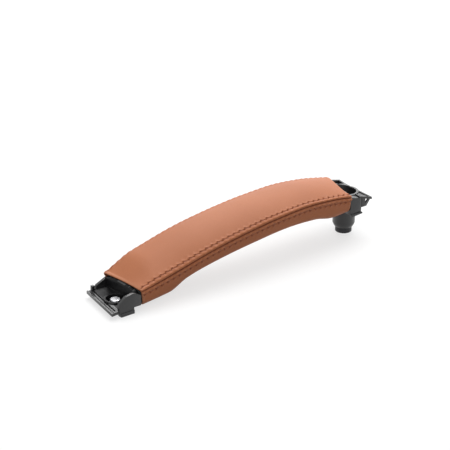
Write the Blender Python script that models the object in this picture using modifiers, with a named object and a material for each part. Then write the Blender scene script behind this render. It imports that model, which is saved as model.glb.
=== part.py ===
"""Car door pull handle: a moulded carrier with a leather-wrapped, arched grip.

Metres, +Z up. X runs along the handle from the low tray end to the post end, Y goes
across it, and Z = 0 is the door's mounting plane, on which the tray's foot and the
post's foot stand. Lengths along X are measured from the front corner of the tray's
foot; the root empty then brings the middle of the handle to the origin.
"""

import math
from collections import namedtuple

import bmesh
import bpy
from mathutils import Matrix, Vector

# Clearances between separate pieces
FIT_GAP = 0.0003
SOFT_GAP = 0.0004
END_GAP = 0.0005

# Wrapped grip: plan, section and the cut at its ends
GRIP_START = 0.0185
GRIP_LENGTH = 0.2055
GRIP_END = GRIP_START + GRIP_LENGTH
GRIP_HALF_WIDTH = 0.022
SHOULDER_WIDTH = 0.0038
SHOULDER_MINIMUM = 0.0008
CROWN_RISE = 0.0035
BELLY_RADIUS = 0.0085
BELLY_MINIMUM = 0.0015
BELLY_SHARE = 0.45
SIDE_DRAFT = 0.0015
END_SKEW = 0.0145
EAR_WIDTH = 0.0075
SKEW_POWER = 0.85
FAN_POWER = 6
GRIP_STATIONS = 20
SHOULDER_POINTS = 4
CROWN_POINTS = 8
BELLY_POINTS = 4

# Lines along the grip, each a share of its length and a height there: the near seam,
# the shoulder's rise above it, the rise of the far side over the near one, the belly
SEAM_LINE = (
    (0.0, 0.0114),
    (0.153, 0.0212),
    (0.324, 0.0292),
    (0.494, 0.0350),
    (0.640, 0.0386),
    (0.786, 0.0405),
    (0.908, 0.0393),
    (1.078, 0.0340),
)
SHOULDER_LINE = (
    (0.0, 0.0038),
    (0.52, 0.0036),
    (0.88, 0.0024),
    (1.078, 0.0024),
)
LIFT_LINE = (
    (0.0, 0.0034),
    (0.105, 0.0060),
    (0.251, 0.0062),
    (0.445, 0.0055),
    (0.640, 0.0044),
    (0.835, 0.0035),
    (1.078, 0.0021),
)
BELLY_LINE = (
    (0.0, 0.0010),
    (0.134, 0.0027),
    (0.212, 0.0105),
    (0.299, 0.0148),
    (0.504, 0.0210),
    (0.723, 0.0249),
    (0.835, 0.0241),
    (0.922, 0.0215),
    (0.985, 0.0229),
    (1.078, 0.0245),
)

# Layers of the grip, from the outside in
LEATHER = 0.0012
FOAM = 0.0016
SHELL_WALL = 0.0020
SHELL_SETBACK = 0.0035
SEAM_GAP = 0.0005
SEAM_ROLL = 0.0007
SEAM_TUCK = 0.0004

# Stitches beside the seam: the upper row lies round the shoulder, the lower one below
STITCH_PITCH = 0.0048
STITCH_TURN = math.radians(68)
STITCH_OFFSET = 0.0034
STITCH_END_MARGIN = 0.0016
THREAD_RADIUS = 0.00045
THREAD_DIP = 0.5
THREAD_LIFT = 0.00025

# Ribbed beam of the carrier, inside the grip
BEAM_OVERLAP = 0.0022
BEAM_WALL = 0.0024
BEAM_ROOF = 0.0026
RIB_PITCH = 0.0205
RIB_THICKNESS = 0.0020
BEAM_SOLID_END = 0.0120

# Tray at the low end
WALL = 0.0022
TRAY_SETBACK = 0.0005
TRAY_HALF_WIDTH = GRIP_HALF_WIDTH - TRAY_SETBACK
FLOOR_SLOPE = math.radians(7)
FLOOR_FRONT_HEIGHT = 0.0046
FLOOR_THICKNESS = 0.0020
FRONT_NEAR_X = -0.0014
FRONT_SKEW = 0.0068
FOOT_LENGTH = 0.0118
FOOT_BAND = 0.0028
FOOT_PAD = 0.0034
FOOT_PROUD = 0.0005
HEEL_HEIGHT = 0.0046
HEEL_TOP = 0.0118
CHEEK_FRONT_TOP = 0.0098
CHEEK_KNEE = (0.0041, 0.0145)
CHEEK_PEAK = (0.0110, 0.0157)
CHEEK_BACK_TOP = 0.0124
FAR_RIM_NOTCH = 0.0064
FAR_RIM_FRONT = 0.0084
FAR_RIM_BACK = 0.0128
RIM_NOTCH_LENGTH = 0.0018
RIM_RAMP = 0.0008
HOOK_SETOUT = 0.0016
HOOK_LENGTH = 0.0022
HOOK_TOP = 0.0088
LIP_NEAR_X = -0.0082
LIP_SKEW = 0.0088
LIP_WIDTH = 0.0036
LIP_TOP = 0.0052
LIP_THICKNESS = 0.0022
LIP_CORNER = 0.0012
LIP_GROOVE = 0.0008
SLOT_WIDTH = 0.0012
SLOT_DEPTH = 0.0013

# Screw recess in the tray and the closed insert nut in it
RECESS_X = 0.0082
RECESS_Y = -0.0034
RECESS_RADIUS = 0.0071
RECESS_FLOOR = 0.0020
RECESS_WALL = 0.0016
RECESS_RIM = 0.0006
RECESS_PLATE = 0.0016
INSERT_BARREL_RADIUS = 0.0031
INSERT_FLANGE_RADIUS = 0.0049
INSERT_FLANGE = 0.0010
INSERT_DOME_RADIUS = 0.0041
INSERT_DOME_HEIGHT = 0.0028
INSERT_EDGE = 0.0009
INSERT_BORE_RADIUS = 0.0020
INSERT_FOOT_RISE = 0.0004

# Post and block at the high end
POST_REACH = 0.0103
POST_X = GRIP_END + POST_REACH
POST_Y = -0.0022
POST_RADIUS = 0.0090
POST_SHOULDER_Z = 0.0082
POST_SHOULDER_DROP = 0.0018
POST_SHOULDER_STEP = 0.0007
POST_END_RADIUS = 0.0072
POST_END_Z = 0.0046
WELL_RADIUS = 0.0094
WELL_WALL = 0.0018
WELL_TOP = 0.0345
WELL_STEP_Z = 0.0245
WELL_STEP = 0.0040
WELL_LOW_RADIUS = 0.0068
WELL_FLOOR = 0.0110
NECK_TOP = 0.0300
NECK_BOTTOM = 0.0240
BLOCK_SETBACK = 0.0020
BLOCK_HALF_WIDTH = GRIP_HALF_WIDTH - BLOCK_SETBACK
BLOCK_BOTTOM = 0.0212
BLOCK_NEAR_TOP = 0.0332
BLOCK_FAR_TOP = 0.0366
BLOCK_SLOPE = math.radians(13)
BLOCK_REACH = 0.0120
BLOCK_SKEW = 0.0135
BLOCK_FLOOR = 0.0025
BLOCK_STEPS = 6
POCKET_WALL = 0.0020
RIB_Y = 0.0085
LEDGE_LENGTH = 0.0105
LEDGE_PROUD = 0.0012
LEDGE_RISE = 0.0006
LEDGE_DROP = 0.0007
LEDGE_FALL = 0.0008
LEDGE_OVERHANG = 0.0008

# Flange at the tip
TIP_REACH = 0.0214
TIP_X = GRIP_END + TIP_REACH
TIP_SKEW = 0.0110
TIP_TOP = 0.0324
FLANGE_SLOPE = math.radians(13)
FLANGE_TILT = math.radians(1.7)
FLANGE_THICKNESS = 0.0018
FLANGE_RIDGE = 0.0007
FLANGE_RIDGE_WIDTH = 0.0010
FLANGE_RIDGE_SETBACK = 0.0026
LATCH_LENGTH = 0.0038
LATCH_WIDTH = 0.0044
LATCH_BOTTOM = 0.0252
GUSSET_THICKNESS = 0.0012
GUSSET_SETBACK = 0.0006

# Spacer bush pressed into the post from below
BUSH_FOOT_RADIUS = 0.0067
BUSH_BARREL_RADIUS = 0.0047
BUSH_BORE_RADIUS = 0.0033
BUSH_CHAMFER = 0.0006

# Reach of the cutters past the solids, and steps of round solids
CUT_PAST = 0.0010
CUT_TOP = 0.0600
ROUND_STEPS = 32
SMALL_STEPS = 24


def clear_scene():
    for obj in list(bpy.data.objects):
        bpy.data.objects.remove(obj, do_unlink=True)


def new_collection(name):
    group = bpy.data.collections.new(name)
    bpy.context.scene.collection.children.link(group)
    return group


def new_material(name, colour, roughness, metallic=0.0):
    material = bpy.data.materials.new(name)
    material.use_nodes = True
    shader = material.node_tree.nodes["Principled BSDF"]
    shader.inputs["Base Color"].default_value = (*colour, 1.0)
    shader.inputs["Roughness"].default_value = roughness
    shader.inputs["Metallic"].default_value = metallic
    material.diffuse_color = (*colour, 1.0)
    return material


def place(name, mesh, group, material=None, helper=False):
    obj = bpy.data.objects.new(name, mesh)
    group.objects.link(obj)
    if material:
        mesh.materials.append(material)
    if helper:
        obj.hide_render = True
        obj.display_type = "WIRE"
    else:
        mesh.shade_smooth()
        mesh.set_sharp_from_angle(angle=math.radians(35))
    return obj


def mesh_from(name, shape):
    bmesh.ops.recalc_face_normals(shape, faces=shape.faces)
    mesh = bpy.data.meshes.new(name)
    shape.to_mesh(mesh)
    shape.free()
    return mesh


def extruded(name, outline, rise):
    """Mesh of a flat outline, a list of points, pushed along the vector rise."""
    shape = bmesh.new()
    face = shape.faces.new([shape.verts.new(point) for point in outline])
    pushed = bmesh.ops.extrude_face_region(shape, geom=[face])["geom"]
    moved = [item for item in pushed if isinstance(item, bmesh.types.BMVert)]
    bmesh.ops.translate(shape, verts=moved, vec=rise)
    return mesh_from(name, shape)


def side_plate(name, outline, near_y, far_y):
    """Plate with an outline in X and Z, between two values of Y."""
    points = [Vector((x, near_y, z)) for x, z in outline]
    return extruded(name, points, Vector((0, far_y - near_y, 0)))


def plan_plate(name, outline, low_z, high_z):
    """Plate with an outline in X and Y, between two heights."""
    points = [Vector((x, y, low_z)) for x, y in outline]
    return extruded(name, points, Vector((0, 0, high_z - low_z)))


def box(name, low, high):
    outline = [(low[0], low[1]), (high[0], low[1]), (high[0], high[1]), (low[0], high[1])]
    return plan_plate(name, outline, low[2], high[2])


def rod(name, centre, radius, low_z, high_z, steps=ROUND_STEPS):
    shape = bmesh.new()
    middle = Matrix.Translation((centre[0], centre[1], (low_z + high_z) / 2))
    bmesh.ops.create_cone(
        shape,
        cap_ends=True,
        segments=steps,
        radius1=radius,
        radius2=radius,
        depth=high_z - low_z,
        matrix=middle,
    )
    return mesh_from(name, shape)


def turned(name, profile, centre, group, material, steps=ROUND_STEPS, helper=False):
    """Solid of revolution: a profile of (radius, height) from top to bottom, turned."""
    shape = bmesh.new()
    verts = [shape.verts.new((radius, 0, z)) for radius, z in profile]
    for first, second in zip(verts, verts[1:]):
        shape.edges.new((first, second))
    mesh = bpy.data.meshes.new(name)
    shape.to_mesh(mesh)
    shape.free()
    obj = place(name, mesh, group, material, helper)
    obj.location = (centre[0], centre[1], 0)
    screw = obj.modifiers.new("Turn", "SCREW")
    screw.angle = math.tau
    screw.steps = steps
    screw.render_steps = steps
    screw.use_merge_vertices = True
    screw.merge_threshold = 0.00001
    screw.use_smooth_shade = True
    return obj


def height_on(line, x):
    """Height at x of the smooth curve through the points of a line along the grip."""
    share = (x - GRIP_START) / GRIP_LENGTH
    spans = [(end[1] - start[1]) / (end[0] - start[0]) for start, end in zip(line, line[1:])]
    slopes = [spans[0]]
    for before, after in zip(spans, spans[1:]):
        same_way = before * after > 0
        slopes.append(2 * before * after / (before + after) if same_way else 0.0)
    slopes.append(spans[-1])
    if share <= line[0][0]:
        return line[0][1] + (share - line[0][0]) * slopes[0]
    if share >= line[-1][0]:
        return line[-1][1] + (share - line[-1][0]) * slopes[-1]
    i = max(k for k in range(len(spans)) if line[k][0] <= share)
    width = line[i + 1][0] - line[i][0]
    t = (share - line[i][0]) / width
    start = line[i][1] * (1 + 2 * t) * (1 - t) ** 2 + slopes[i] * width * t * (1 - t) ** 2
    end = line[i + 1][1] * t * t * (3 - 2 * t) + slopes[i + 1] * width * t * t * (t - 1)
    return start + end


def lift_at(x, y):
    """Rise of the section at x and y: the grip is rolled a little, far side up."""
    return height_on(LIFT_LINE, x) * (y + GRIP_HALF_WIDTH) / (2 * GRIP_HALF_WIDTH)


Section = namedtuple("Section", "half shoulder rise top bottom belly")


def section_frame(x, inset):
    """Half width, shoulder size, heights and belly radius of the section at x."""
    shoulder = max(SHOULDER_WIDTH - inset, SHOULDER_MINIMUM)
    full_rise = height_on(SHOULDER_LINE, x)
    rise = shoulder * full_rise / SHOULDER_WIDTH
    top = height_on(SEAM_LINE, x) + full_rise - inset
    bottom = height_on(BELLY_LINE, x) + inset
    radius = max(BELLY_RADIUS - inset, BELLY_MINIMUM)
    belly = min(radius, (top - rise - bottom) * BELLY_SHARE)
    return Section(GRIP_HALF_WIDTH - inset, shoulder, rise, top, bottom, belly)


def side_at(x, inset, z):
    """Half width of the section at x and height z, on the leaning side."""
    section = section_frame(x, inset)
    seam = section.top - section.rise
    return section.half - SIDE_DRAFT * (seam - z) / (seam - section.bottom - section.belly)


def top_outline(x, inset):
    """Near seam over the crown to the far seam, as (y, z, share of the end skew)."""
    section = section_frame(x, inset)
    points = []
    for k in range(SHOULDER_POINTS + 1):
        angle = k / SHOULDER_POINTS * math.pi / 2
        y = -section.half + section.shoulder * (1 - math.cos(angle))
        z = section.top - section.rise * (1 - math.sin(angle))
        points.append((y, z, 1.0))
    flat = section.half - section.shoulder
    for k in range(1, CROWN_POINTS):
        y = -flat + 2 * flat * k / CROWN_POINTS
        points.append((y, section.top + CROWN_RISE * (1 - (y / flat) ** 2), 1.0))
    mirrored = [(-y, z, share) for y, z, share in points[SHOULDER_POINTS::-1]]
    return points + mirrored


def under_outline(x, inset):
    """Near seam down, under the belly and up to the far seam, as (y, z, share)."""
    section = section_frame(x, inset)
    seam = section.top - section.rise
    corner = section.bottom + section.belly
    side = [(-section.half, seam), (-section.half + SIDE_DRAFT / 2, (seam + corner) / 2)]
    for k in range(BELLY_POINTS + 1):
        angle = k / BELLY_POINTS * math.pi / 2
        y = -section.half + SIDE_DRAFT + section.belly * (1 - math.cos(angle))
        side.append((y, corner - section.belly * math.sin(angle)))
    drop = seam - section.bottom
    points = [(y, z, max(0.0, (z - section.bottom) / drop)) for y, z in side]
    middle = [(0.0, section.bottom, 0.0)]
    mirrored = [(-y, z, share) for y, z, share in reversed(points)]
    return points + middle + mirrored


def full_outline(x, inset):
    return top_outline(x, inset) + under_outline(x, inset)[-2:0:-1]


def split_height(x):
    """Height of the joint between the carrier's beam and the shell below it."""
    section = section_frame(x, core_inset())
    return (section.top + section.bottom) / 2


def core_inset():
    return LEATHER + SOFT_GAP + FOAM + SOFT_GAP


def beam_outline(x, inset):
    """Upper half of the core: the crown, the sides and a flat joint face."""
    crown = top_outline(x, inset)
    joint = split_height(x) + FIT_GAP / 2
    half = side_at(x, inset, joint)
    foot = [(half, joint, 0.5), (0.0, joint, 0.5), (-half, joint, 0.5)]
    return crown + foot


def shell_outline(x, inset):
    """Lower half of the core, open at the joint: near rim, belly, far rim."""
    joint = split_height(x) - FIT_GAP / 2
    half = side_at(x, inset, joint)
    belly = under_outline(x, inset)[2:-2]
    return [(-half, joint, 0.5)] + belly + [(half, joint, 0.5)]


def skew_at(y):
    """How far the cut at the high end lies past the near corner, at y."""
    start = EAR_WIDTH - GRIP_HALF_WIDTH
    share = max(0.0, (y - start) / (GRIP_HALF_WIDTH - start))
    return END_SKEW * share**SKEW_POWER


def fan_at(x):
    """Share of the end skew that has been reached at x: it grows towards the cut."""
    return max(0.0, (x - GRIP_START) / GRIP_LENGTH) ** FAN_POWER


def lofted_grid(outline, inset, start, end):
    """Stations of points along the grip, fanned out towards the skewed end cut."""
    grid = []
    for station in range(GRIP_STATIONS + 1):
        nominal = start + (end - start) * station / GRIP_STATIONS
        fan = (station / GRIP_STATIONS) ** FAN_POWER
        row = []
        for index, (y, z, share) in enumerate(outline(nominal, inset)):
            x = nominal + fan * share * skew_at(y)
            y, z, share = outline(x, inset)[index]
            row.append(Vector((x, y, z + lift_at(x, y))))
        grid.append(row)
    return grid


def skin_between(name, outer, inner, closed=False):
    """Closed mesh between two grids of points, one lining the other."""
    shape = bmesh.new()
    rows_out = [[shape.verts.new(point) for point in row] for row in outer]
    rows_in = [[shape.verts.new(point) for point in row] for row in inner]
    count = len(outer[0])
    spans = count if closed else count - 1
    for rows in (rows_out, rows_in):
        for here, there in zip(rows, rows[1:]):
            for k in range(spans):
                n = (k + 1) % count
                shape.faces.new((here[k], here[n], there[n], there[k]))
    for row_out, row_in in ((rows_out[0], rows_in[0]), (rows_out[-1], rows_in[-1])):
        for k in range(spans):
            n = (k + 1) % count
            shape.faces.new((row_out[k], row_out[n], row_in[n], row_in[k]))
    if not closed:
        for k in (0, count - 1):
            for i in range(len(outer) - 1):
                corners = (rows_out[i][k], rows_out[i + 1][k], rows_in[i + 1][k], rows_in[i][k])
                shape.faces.new(corners)
    return mesh_from(name, shape)


def solid_loft(name, grid):
    """Closed mesh through a grid of closed outlines, with a cap at each end."""
    shape = bmesh.new()
    rows = [[shape.verts.new(point) for point in row] for row in grid]
    count = len(grid[0])
    for here, there in zip(rows, rows[1:]):
        for k in range(count):
            n = (k + 1) % count
            shape.faces.new((here[k], here[n], there[n], there[k]))
    caps = [shape.faces.new(rows[0]), shape.faces.new(rows[-1])]
    bmesh.ops.triangulate(shape, faces=caps)
    return mesh_from(name, shape)


def combine(obj, group, operation):
    modifier = obj.modifiers.new(operation.title(), "BOOLEAN")
    modifier.operation = operation
    modifier.operand_type = "COLLECTION"
    modifier.collection = group
    modifier.solver = "EXACT"
    return modifier


def leather_edge(points, facing):
    """Rolls the two seam edges of a panel's outer line in, and opens the seam gap."""
    near = points[0]
    far = points[-1]
    drop = facing * SEAM_GAP / 2
    turn = facing * SEAM_ROLL
    near_edge = (near[0] + SEAM_TUCK, near[1] + drop, near[2])
    far_edge = (far[0] - SEAM_TUCK, far[1] + drop, far[2])
    near_side = seam_shift(near, drop + turn)
    far_side = seam_shift(far, drop + turn)
    return [near_edge, near_side] + points[1:-1] + [far_side, far_edge]


def leather_lining(points, facing):
    """Inner line of a panel with the same count of points as its rolled outer line."""
    drop = facing * SEAM_GAP / 2
    turn = facing * SEAM_ROLL
    near_side = seam_shift(points[0], drop + turn)
    far_side = seam_shift(points[-1], drop + turn)
    edges = [seam_shift(points[0], drop), seam_shift(points[-1], drop)]
    return [edges[0], near_side] + points[1:-1] + [far_side, edges[1]]


def seam_shift(point, rise):
    return (point[0], point[1] + rise, point[2])


def leather_panel(name, outline, facing, group, material):
    """One panel of the wrap; facing is 1 above the seam and -1 below it."""
    def outer(x, inset):
        return leather_edge(outline(x, inset), facing)

    def inner(x, inset):
        points = outline(x, inset)
        level = height_on(SEAM_LINE, x) - points[0][1]
        ends = [seam_shift(points[0], level), seam_shift(points[-1], level)]
        return leather_lining([ends[0]] + points[1:-1] + [ends[1]], facing)

    skin = skin_between(
        name,
        lofted_grid(outer, 0.0, GRIP_START, GRIP_END),
        lofted_grid(inner, LEATHER, GRIP_START, GRIP_END),
    )
    return place(name, skin, group, material)


def foam_wrap(group, cuts, material):
    inset = LEATHER + SOFT_GAP
    start = GRIP_START + END_GAP
    end = GRIP_END - END_GAP
    outer = lofted_grid(full_outline, inset, start, end)
    inner = lofted_grid(full_outline, inset + FOAM, start, end)
    foam = place("foam_wrap", skin_between("foam_wrap", outer, inner, True), group, material)
    reach = WELL_RADIUS + WELL_WALL + SOFT_GAP
    well = rod("foam_well_cut", (POST_X, POST_Y), reach, 0.0, CUT_TOP)
    place("foam_well_cut", well, cuts, helper=True)
    combine(foam, cuts, "DIFFERENCE")
    return foam


def underside_shell(group, material):
    inset = core_inset()
    start = GRIP_START + END_GAP
    end = GRIP_END - SHELL_SETBACK
    outer = lofted_grid(shell_outline, inset, start, end)
    inner = lofted_grid(shell_outline, inset + SHELL_WALL, start, end)
    return place("underside_shell", skin_between("underside_shell", outer, inner), group, material)


def stitch_row(name, side, upper, group, material):
    """One sewing thread: it rises at each stitch and dips to the leather between."""
    start = GRIP_START + STITCH_END_MARGIN
    end = GRIP_END - STITCH_END_MARGIN
    spans = 2 * round((end - start) / STITCH_PITCH)
    curve = bpy.data.curves.new(name, "CURVE")
    curve.dimensions = "3D"
    curve.bevel_depth = THREAD_RADIUS
    curve.bevel_resolution = 0
    curve.use_fill_caps = True
    spline = curve.splines.new("POLY")
    spline.points.add(spans)
    for k, point in enumerate(spline.points):
        x = start + (end - start) * k / spans
        x += fan_at(x) * skew_at(side * GRIP_HALF_WIDTH)
        raised = k % 2 == 1
        point.co = (*stitch_place(x, side, upper, raised), 1.0)
        point.radius = 1.0 if raised else THREAD_DIP
    curve.materials.append(material)
    obj = bpy.data.objects.new(name, curve)
    group.objects.link(obj)
    return obj


def stitch_place(x, side, upper, raised):
    """Centre of the thread at x, beside the seam, clear of the leather's surface."""
    clear = FIT_GAP + THREAD_RADIUS + (THREAD_LIFT if raised else 0.0)
    seam = height_on(SEAM_LINE, x)
    if upper:
        rise = height_on(SHOULDER_LINE, x)
        across = Vector((math.cos(STITCH_TURN) * SHOULDER_WIDTH, math.sin(STITCH_TURN) * rise))
        normal = Vector((across.x / SHOULDER_WIDTH**2, across.y / rise**2)).normalized()
        y = side * (GRIP_HALF_WIDTH - SHOULDER_WIDTH + across.x + normal.x * clear)
        z = seam + across.y + normal.y * clear
    else:
        z = seam - STITCH_OFFSET
        y = side * (side_at(x, 0.0, z) + clear)
    return x, y, z + lift_at(x, y)


def front_x(y, near_x, skew):
    """X at y of an edge that runs obliquely across the tray."""
    return near_x + skew * (y + TRAY_HALF_WIDTH) / (2 * TRAY_HALF_WIDTH)


def floor_height(x):
    return FLOOR_FRONT_HEIGHT + math.tan(FLOOR_SLOPE) * (x - FRONT_NEAR_X)


def tray_back():
    return GRIP_START - END_GAP


def tray_walls(added):
    """Near cheek, low far rim with its hook, heel wall at the grip, and front wall."""
    back = tray_back()
    near_x = FRONT_NEAR_X
    near_y = -TRAY_HALF_WIDTH
    far_y = TRAY_HALF_WIDTH
    cheek = [
        (0.0, FOOT_BAND / 2),
        (FOOT_LENGTH, FOOT_BAND / 2),
        (FOOT_LENGTH, HEEL_HEIGHT),
        (back, HEEL_HEIGHT),
        (back, CHEEK_BACK_TOP),
        CHEEK_PEAK,
        CHEEK_KNEE,
        (near_x, CHEEK_FRONT_TOP),
        (near_x, FOOT_BAND),
    ]
    place("cheek", side_plate("cheek", cheek, near_y, near_y + WALL), added, helper=True)
    far_x = near_x + FRONT_SKEW
    far_foot = FOOT_LENGTH + FRONT_SKEW / 2
    rim = [
        (far_x, FOOT_BAND / 2),
        (far_foot, FOOT_BAND / 2),
        (far_foot, HEEL_HEIGHT),
        (back, HEEL_HEIGHT),
        (back, FAR_RIM_BACK),
        (far_x + RIM_NOTCH_LENGTH + RIM_RAMP, FAR_RIM_FRONT),
        (far_x + RIM_NOTCH_LENGTH, FAR_RIM_NOTCH),
        (far_x, FAR_RIM_NOTCH),
    ]
    place("far_rim", side_plate("far_rim", rim, far_y - WALL, far_y), added, helper=True)
    hook_x = far_x - HOOK_SETOUT
    hook_low = (hook_x, far_y - WALL, LIP_TOP - LIP_THICKNESS / 2)
    hook = box("hook", hook_low, (hook_x + HOOK_LENGTH, far_y, HOOK_TOP))
    place("hook", hook, added, helper=True)
    heel = box("heel", (back - WALL, near_y, HEEL_HEIGHT), (back, far_y, HEEL_TOP))
    place("heel", heel, added, helper=True)
    edge = TRAY_HALF_WIDTH - WALL / 2
    front = [
        (front_x(-edge, near_x, FRONT_SKEW), -edge),
        (front_x(-edge, near_x, FRONT_SKEW) + WALL, -edge),
        (front_x(edge, near_x, FRONT_SKEW) + WALL, edge),
        (front_x(edge, near_x, FRONT_SKEW), edge),
    ]
    wall = plan_plate("front_wall", front, FOOT_BAND / 2, FLOOR_FRONT_HEIGHT)
    place("front_wall", wall, added, helper=True)


def tray_feet(added):
    """Foot bands along both walls, the faces that stand on the door."""
    proud = TRAY_HALF_WIDTH + FOOT_PROUD
    near = box("near_foot", (0.0, -proud, 0.0), (FOOT_LENGTH, -proud + FOOT_PAD, FOOT_BAND))
    place("near_foot", near, added, helper=True)
    far_start = FRONT_NEAR_X + FRONT_SKEW
    far_end = FOOT_LENGTH + FRONT_SKEW / 2
    far = box("far_foot", (far_start, proud - FOOT_PAD, 0.0), (far_end, proud, FOOT_BAND))
    place("far_foot", far, added, helper=True)


def tray_floor(added):
    """Sloping floor between the walls, with its skewed front edge."""
    back = tray_back()
    edge = TRAY_HALF_WIDTH - WALL / 2
    shape = bmesh.new()
    corners = [
        (front_x(-edge, FRONT_NEAR_X, FRONT_SKEW), -edge),
        (back, -edge),
        (back, edge),
        (front_x(edge, FRONT_NEAR_X, FRONT_SKEW), edge),
    ]
    face = shape.faces.new([shape.verts.new((x, y, floor_height(x))) for x, y in corners])
    pushed = bmesh.ops.extrude_face_region(shape, geom=[face])["geom"]
    moved = [item for item in pushed if isinstance(item, bmesh.types.BMVert)]
    bmesh.ops.translate(shape, verts=moved, vec=(0, 0, -FLOOR_THICKNESS))
    place("tray_floor", mesh_from("tray_floor", shape), added, helper=True)


def tray_lip(added, cut):
    """Oblique lip in front of the tray, with a groove along it and a slot behind."""
    half = GRIP_HALF_WIDTH
    inner_near = FRONT_NEAR_X + WALL / 2
    inner_far = inner_near + FRONT_SKEW
    lip = [
        (LIP_NEAR_X, -half),
        (inner_near, -half + LIP_CORNER),
        (inner_far, half - LIP_CORNER),
        (LIP_NEAR_X + LIP_SKEW, half),
    ]
    place("lip", plan_plate("lip", lip, LIP_TOP - LIP_THICKNESS, LIP_TOP), added, helper=True)
    slope = LIP_SKEW / (2 * half)
    groove_start = (LIP_WIDTH - LIP_GROOVE) / 2
    groove_y = half + CUT_PAST
    slot_y = TRAY_HALF_WIDTH - WALL
    for name, start, width, depth, reach in (
        ("lip_groove", groove_start, LIP_GROOVE, LIP_GROOVE / 2, groove_y),
        ("lip_slot", LIP_WIDTH, SLOT_WIDTH, SLOT_DEPTH, slot_y),
    ):
        near_x = LIP_NEAR_X + start + slope * (half - reach)
        far_x = LIP_NEAR_X + start + slope * (half + reach)
        outline = [(near_x, -reach), (near_x + width, -reach), (far_x + width, reach), (far_x, reach)]
        mesh = plan_plate(name, outline, LIP_TOP - depth, LIP_TOP + CUT_PAST)
        place(name, mesh, cut, helper=True)


def screw_recess(added, cut):
    """Round recess through the tray floor, with a plate at its foot for the insert."""
    centre = (RECESS_X, RECESS_Y)
    bottom = RECESS_FLOOR - RECESS_PLATE
    top = floor_height(RECESS_X) + RECESS_RIM
    collar = rod("recess_collar", centre, RECESS_RADIUS + RECESS_WALL, bottom, top)
    place("recess_collar", collar, added, helper=True)
    hollow = rod("recess_hollow", centre, RECESS_RADIUS, RECESS_FLOOR, CUT_TOP)
    place("recess_hollow", hollow, cut, helper=True)
    bore = INSERT_BARREL_RADIUS + FIT_GAP
    hole = rod("insert_hole", centre, bore, -CUT_PAST, RECESS_FLOOR + CUT_PAST, SMALL_STEPS)
    place("insert_hole", hole, cut, helper=True)


def lower_insert_nut(group, material):
    """Closed insert nut: a domed head on a flange, its barrel through the plate."""
    seat = RECESS_FLOOR + FIT_GAP
    flange_top = seat + INSERT_FLANGE
    dome_top = flange_top + INSERT_DOME_HEIGHT
    profile = [
        (0.0, dome_top),
        (INSERT_DOME_RADIUS - INSERT_EDGE, dome_top),
        (INSERT_DOME_RADIUS - INSERT_EDGE / 3, dome_top - INSERT_EDGE / 3),
        (INSERT_DOME_RADIUS, dome_top - INSERT_EDGE),
        (INSERT_DOME_RADIUS, flange_top),
        (INSERT_FLANGE_RADIUS - INSERT_EDGE / 4, flange_top),
        (INSERT_FLANGE_RADIUS, flange_top - INSERT_EDGE / 4),
        (INSERT_FLANGE_RADIUS, seat),
        (INSERT_BARREL_RADIUS, seat),
        (INSERT_BARREL_RADIUS, INSERT_FOOT_RISE),
        (INSERT_BORE_RADIUS, INSERT_FOOT_RISE),
        (INSERT_BORE_RADIUS, dome_top - INSERT_DOME_HEIGHT / 2),
        (0.0, dome_top - INSERT_DOME_HEIGHT / 3),
    ]
    return turned("lower_insert_nut", profile, (RECESS_X, RECESS_Y), group, material, SMALL_STEPS)


def block_top(x, level):
    return level - math.tan(BLOCK_SLOPE) * (x - block_end(-BLOCK_HALF_WIDTH))


def block_end(y):
    """X of the block's end wall at y."""
    share = (y + BLOCK_HALF_WIDTH) / (2 * BLOCK_HALF_WIDTH)
    return GRIP_END + BLOCK_REACH + BLOCK_SKEW * share


def cut_line(y):
    """X of the block's face along the skewed cut of the grip, at y."""
    return GRIP_END + END_GAP + skew_at(y)


def along_cut(start_y, end_y):
    """Points of the block's face along the cut, from start_y up to but not at end_y."""
    steps = [start_y + (end_y - start_y) * k / BLOCK_STEPS for k in range(BLOCK_STEPS)]
    return [(cut_line(y), y) for y in steps]


def sloped_block(name, outline, level, low_z):
    """Prism on a plan outline whose top falls along X with the block's slope."""
    shape = bmesh.new()
    low = [shape.verts.new((x, y, low_z)) for x, y in outline]
    high = [shape.verts.new((x, y, block_top(x, level))) for x, y in outline]
    shape.faces.new(low)
    shape.faces.new(high)
    for k in range(len(outline)):
        n = (k + 1) % len(outline)
        shape.faces.new((low[k], low[n], high[n], high[k]))
    return mesh_from(name, shape)


def end_block(added, cut):
    """Walled block past the grip: a low near half, and a high far half with a pocket."""
    half = BLOCK_HALF_WIDTH
    near = [(cut_line(-half), -half), (block_end(-half), -half), (block_end(POST_Y), POST_Y)]
    near += along_cut(POST_Y, -half)
    mesh = sloped_block("near_block", near, BLOCK_NEAR_TOP, BLOCK_BOTTOM)
    place("near_block", mesh, added, helper=True)
    low_y = POST_Y - WALL
    far = [(cut_line(low_y), low_y), (block_end(low_y), low_y), (block_end(half), half)]
    far += along_cut(half, low_y)
    mesh = sloped_block("far_block", far, BLOCK_FAR_TOP, BLOCK_BOTTOM)
    place("far_block", mesh, added, helper=True)
    inner = half - POCKET_WALL
    pocket = [
        (cut_line(RIB_Y) - BEAM_OVERLAP, RIB_Y),
        (block_end(RIB_Y) - POCKET_WALL, RIB_Y),
        (block_end(inner) - POCKET_WALL, inner),
        (cut_line(inner) + POCKET_WALL, inner),
    ]
    mesh = plan_plate("far_pocket", pocket, BLOCK_BOTTOM + BLOCK_FLOOR, CUT_TOP)
    place("far_pocket", mesh, cut, helper=True)


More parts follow.
